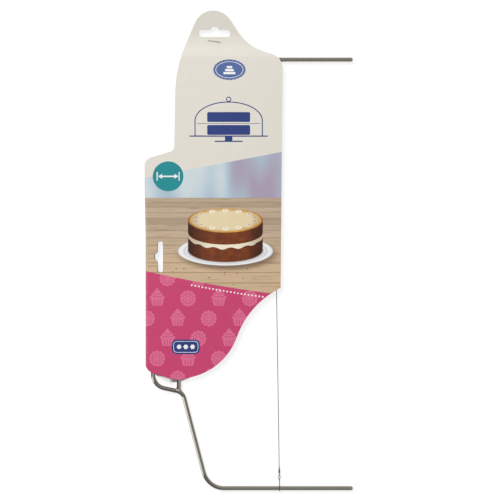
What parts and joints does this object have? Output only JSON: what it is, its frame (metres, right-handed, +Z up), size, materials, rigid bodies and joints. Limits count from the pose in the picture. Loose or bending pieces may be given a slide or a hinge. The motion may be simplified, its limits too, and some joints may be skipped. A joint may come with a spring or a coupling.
{
  "type": "cake leveler",
  "caption": "Wire cake leveler: a bent steel rod frame with a double-bar handle and notched legs, a cutting wire stretched between the legs, and a folded hang card on the handle.",
  "frame": {"origin": "on the card's back face, under the middle of the inner grip bar", "axes": "+X along the legs towards their tips, +Y along the cutting wire, +Z up as the leveler lies flat on its card"},
  "size_m": [0.2219, 0.5154, 0.0081],
  "materials": {
    "steel_rod": "polished drawn stainless rod",
    "weld_steel": "satin weld bead",
    "steel_wire": "hard drawn steel wire",
    "printed_card": "coated printed board, white inside",
    "staple_steel": "galvanised staple wire"
  },
  "bodies": {
    "frame": {"frame_rod": "steel_rod", "grip_bar": "steel_rod", "upper_weld": "weld_steel", "lower_weld": "weld_steel"},
    "wire": {"cutting_wire": "steel_wire", "upper_wire_eye": "steel_wire", "lower_wire_eye": "steel_wire"},
    "card": {"hang_card": "printed_card", "card_staple": "staple_steel"}
  },
  "joints": [
    {"name": "wire_height", "type": "slide", "parent": "frame", "child": "wire", "axis": [1, 0, 0], "range_m": [0, 0.07]},
    {"name": "card_pull_off", "type": "slide", "parent": "frame", "child": "card", "axis": [-1, 0, 0], "range_m": [0, 0.15]}
  ]
}
